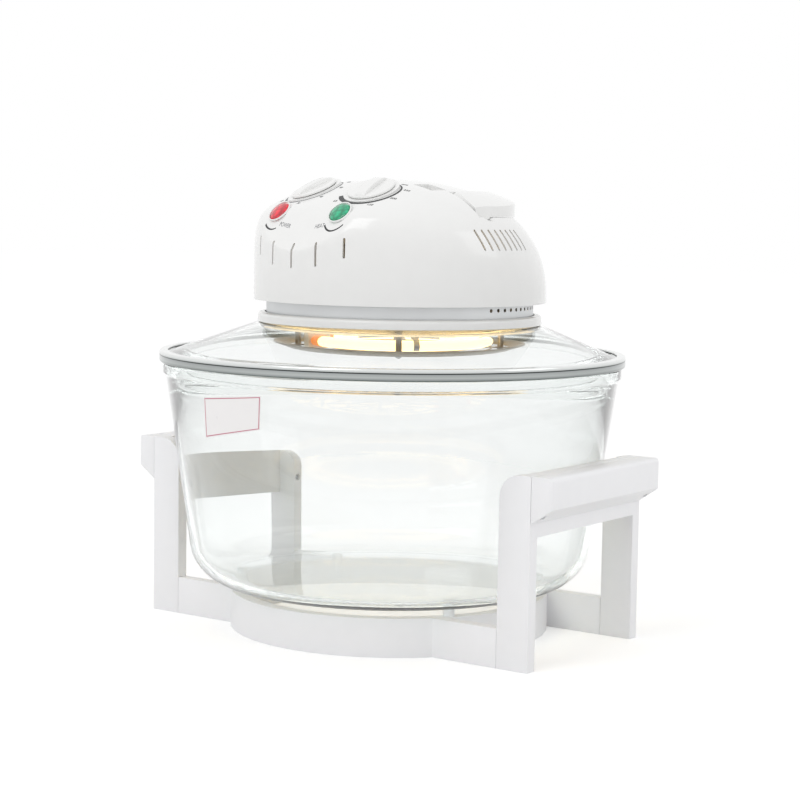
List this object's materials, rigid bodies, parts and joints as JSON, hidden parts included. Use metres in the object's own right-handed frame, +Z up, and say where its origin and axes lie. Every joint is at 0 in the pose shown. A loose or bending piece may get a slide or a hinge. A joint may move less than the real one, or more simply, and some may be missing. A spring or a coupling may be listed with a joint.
{
  "type": "halogen oven",
  "caption": "Countertop halogen oven: round glass bowl on a stand, lift-off conical glass lid with a dial-controlled heating head and folding carry handle.",
  "frame": {"origin": "centre of the stand's footprint on the table", "axes": "+Z up, -Y towards the front, +X to the oven's own right-hand grip seen from the front"},
  "size_m": [0.358, 0.33, 0.3188],
  "materials": {
    "satin_white_plastic": "satin",
    "gloss_white_plastic": "gloss",
    "clear_glass": "clear, slightly green",
    "polished_steel": "polished",
    "bright_zinc": "plain",
    "bright_aluminium": "bright",
    "grey_silicone": "matte",
    "white_ceramic": "unglazed ceramic",
    "lamp_quartz": "quartz tube",
    "black_plastic": "matte",
    "silicon_steel": "laminated",
    "coil_tape": "taped winding",
    "red_lens": "clear red",
    "green_lens": "clear green"
  },
  "bodies": {
    "stand": {"stand_base": "satin_white_plastic", "side_frame_left": "satin_white_plastic", "side_frame_right": "satin_white_plastic", "side_grip_left": "satin_white_plastic", "side_grip_right": "satin_white_plastic", "grip_screw_1": "bright_zinc", "grip_screw_2": "bright_zinc", "grip_screw_3": "bright_zinc", "grip_screw_4": "bright_zinc", "foot_screw_1": "bright_zinc", "foot_screw_2": "bright_zinc", "foot_screw_3": "bright_zinc", "foot_screw_4": "bright_zinc"},
    "bowl": {"glass_bowl": "clear_glass"},
    "lid": {"lid_glass": "clear_glass", "lid_band": "polished_steel", "lid_seal": "grey_silicone", "glass_clamp": "bright_aluminium", "head_base": "gloss_white_plastic", "vent_collar": "bright_aluminium", "head_cover": "gloss_white_plastic", "reflector": "bright_aluminium", "halogen_lamp": "lamp_quartz", "lamp_guard": "polished_steel", "motor_bracket": "bright_zinc", "motor_core": "silicon_steel", "motor_coil": "coil_tape", "timer_body": "black_plastic", "thermostat_body": "black_plastic", "power_lamp": "red_lens", "heat_lamp": "green_lens", "safety_switch": "black_plastic", "terminal_block": "white_ceramic", "thermal_cutout": "black_plastic", "cord_gland": "black_plastic", "cover_screw_1": "bright_zinc", "cover_screw_2": "bright_zinc", "cover_screw_3": "bright_zinc", "cover_screw_4": "bright_zinc", "guard_post_1": "polished_steel", "guard_post_2": "polished_steel", "guard_post_3": "polished_steel", "guard_post_4": "polished_steel", "lamp_holder_1": "white_ceramic", "lamp_holder_2": "white_ceramic", "lamp_clip_1": "bright_zinc", "lamp_clip_2": "bright_zinc", "lamp_clip_3": "bright_zinc", "handle_pin_1": "bright_zinc", "handle_pin_2": "bright_zinc"},
    "handle": {"carry_handle": "gloss_white_plastic"},
    "timer": {"timer_knob": "gloss_white_plastic", "timer_spindle": "bright_zinc"},
    "thermostat": {"thermostat_knob": "gloss_white_plastic", "thermostat_spindle": "bright_zinc"},
    "fan": {"convection_fan": "bright_aluminium", "fan_nut": "bright_zinc", "motor_shaft": "polished_steel", "cooling_fan": "bright_aluminium"},
    "plunger": {"switch_plunger": "black_plastic"}
  },
  "joints": [
    {"name": "bowl_lift", "type": "slide", "parent": "stand", "child": "bowl", "axis": [0, 0, 1], "range_m": [0, 0.16]},
    {"name": "lid_lift", "type": "slide", "parent": "bowl", "child": "lid", "axis": [0, 0, 1], "range_m": [0, 0.2]},
    {"name": "handle_fold", "type": "hinge", "parent": "lid", "child": "handle", "pos_m": [0.00025, 0.00148, 0.3005], "axis": [0.9863, -0.165, 0], "range_deg": [0, 90]},
    {"name": "timer_turn", "type": "hinge", "parent": "lid", "child": "timer", "pos_m": [-0.03667, -0.04527, 0.3097], "axis": [0.1491, 0.3784, -0.9135], "range_deg": [0, 300]},
    {"name": "thermostat_turn", "type": "hinge", "parent": "lid", "child": "thermostat", "pos_m": [0.01994, -0.05474, 0.3097], "axis": [-0.0177, 0.4064, -0.9135], "range_deg": [0, 270]},
    {"name": "fan_spin", "type": "hinge", "parent": "lid", "child": "fan", "pos_m": [0.00107, 0.00641, 0.23], "axis": [0, 0, 1], "continuous": true},
    {"name": "plunger_release", "type": "slide", "parent": "lid", "child": "plunger", "axis": [0, 0, 1], "range_m": [0, 0.002]}
  ],
  "couplings": [
    {"joint": "plunger_release", "follows": "handle_fold", "m_per_rad": 0.0012}
  ]
}
